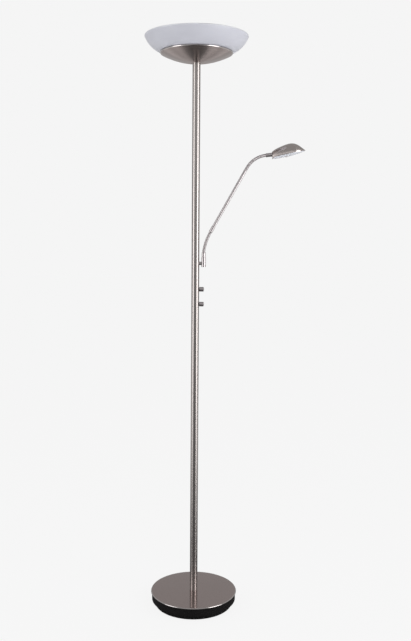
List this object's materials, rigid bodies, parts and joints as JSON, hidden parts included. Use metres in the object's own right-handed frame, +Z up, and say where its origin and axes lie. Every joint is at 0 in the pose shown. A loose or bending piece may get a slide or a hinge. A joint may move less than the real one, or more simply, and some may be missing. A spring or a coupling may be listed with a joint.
{
  "type": "torchiere floor lamp with reading light",
  "caption": "Floor lamp with a round weighted base, a slim pole, an upward opal glass bowl on a metal dish, and a flexible reading arm with its own dimmer.",
  "frame": {"origin": "centre of the round base's footprint, on the floor, on the pole's axis", "axes": "+Z up along the pole, +X towards the reading arm and the dimmer knobs, +Y towards the cord inlet"},
  "size_m": [0.4973, 0.3176, 1.804],
  "materials": {
    "satin_nickel": "satin, circular brushed",
    "nickel_tube": "satin, brushed along the tube",
    "zinc_steel": "zinc plated",
    "black_plastic": "fine matt",
    "cement": "rough cast",
    "black_rubber": "matt",
    "silicone": "matt, translucent white",
    "bright_aluminium": "bright reflector",
    "white_enamel": "gloss white",
    "ceramic": "unglazed",
    "opal_glass": "satin opal",
    "clear_glass": "clear"
  },
  "bodies": {
    "stand": {"base_cover": "satin_nickel", "base_tray": "black_plastic", "base_weight": "cement", "base_feet": "black_rubber", "cord_bush": "black_rubber", "base_stud": "zinc_steel", "base_washer": "zinc_steel", "base_nut": "zinc_steel", "pole_foot_plug": "zinc_steel", "pole_lower": "nickel_tube", "pole_middle": "nickel_tube", "pole_upper": "nickel_tube", "pole_couplers": "zinc_steel", "pole_top_plug": "zinc_steel", "supply_lead": "black_rubber", "uplight_dimmer": "black_plastic", "reading_dimmer": "black_plastic", "dimmer_nuts": "zinc_steel", "dish_nipple": "zinc_steel", "dish_washer": "zinc_steel", "dish_nut": "zinc_steel", "dish": "satin_nickel", "pan_pillars": "zinc_steel", "lamp_pan": "white_enamel", "pan_screws": "zinc_steel", "lamp_bracket": "zinc_steel", "lamp_holders": "ceramic", "lamp_reflector": "bright_aluminium", "halogen_lamp": "clear_glass", "halogen_caps": "ceramic", "guard_glass": "clear_glass", "guard_clips": "zinc_steel", "glass_gasket": "silicone", "glass_bowl": "opal_glass", "lamp_wires": "silicone", "arm_stub": "nickel_tube", "stub_nut": "zinc_steel"},
    "uplight_control": {"uplight_shaft": "zinc_steel", "uplight_knob": "satin_nickel"},
    "reading_control": {"reading_shaft": "zinc_steel", "reading_knob": "satin_nickel"},
    "arm_swivel": {"arm_socket": "satin_nickel", "socket_screw": "zinc_steel", "lower_ferrule": "satin_nickel", "lower_gooseneck": "nickel_tube"},
    "arm_rod": {"tube_ferrule": "satin_nickel", "arm_tube": "nickel_tube", "tube_joint": "zinc_steel", "upper_gooseneck": "nickel_tube"},
    "reading_head": {"neck_ferrule": "satin_nickel", "head_shell": "satin_nickel", "neck_nut": "zinc_steel", "holder_bracket": "zinc_steel", "capsule_holder": "ceramic", "capsule_lamp": "clear_glass", "head_reflector": "bright_aluminium", "lens_bridge": "zinc_steel", "head_lens": "opal_glass", "lens_nut": "satin_nickel"}
  },
  "joints": [
    {"name": "uplight_dimmer_turn", "type": "hinge", "parent": "stand", "child": "uplight_control", "pos_m": [0.0123, 0, 1.031], "axis": [-1, 0, 0], "range_deg": [0, 300]},
    {"name": "reading_dimmer_turn", "type": "hinge", "parent": "stand", "child": "reading_control", "pos_m": [0.0123, 0, 0.984], "axis": [-1, 0, 0], "range_deg": [0, 300]},
    {"name": "arm_swivel_turn", "type": "hinge", "parent": "stand", "child": "arm_swivel", "pos_m": [0.0259, 0, 1.1125], "axis": [1, 0, 0], "range_deg": [-90, 90]},
    {"name": "lower_neck_bend", "type": "hinge", "parent": "arm_swivel", "child": "arm_rod", "pos_m": [0.0259, 0, 1.17319], "axis": [0, 1, 0], "range_deg": [-28, 55], "deforming": ["lower_gooseneck"]},
    {"name": "upper_neck_bend", "type": "hinge", "parent": "arm_rod", "child": "reading_head", "pos_m": [0.17716, 0, 1.44318], "axis": [0, 1, 0], "range_deg": [-50, 55], "deforming": ["upper_gooseneck"]}
  ]
}
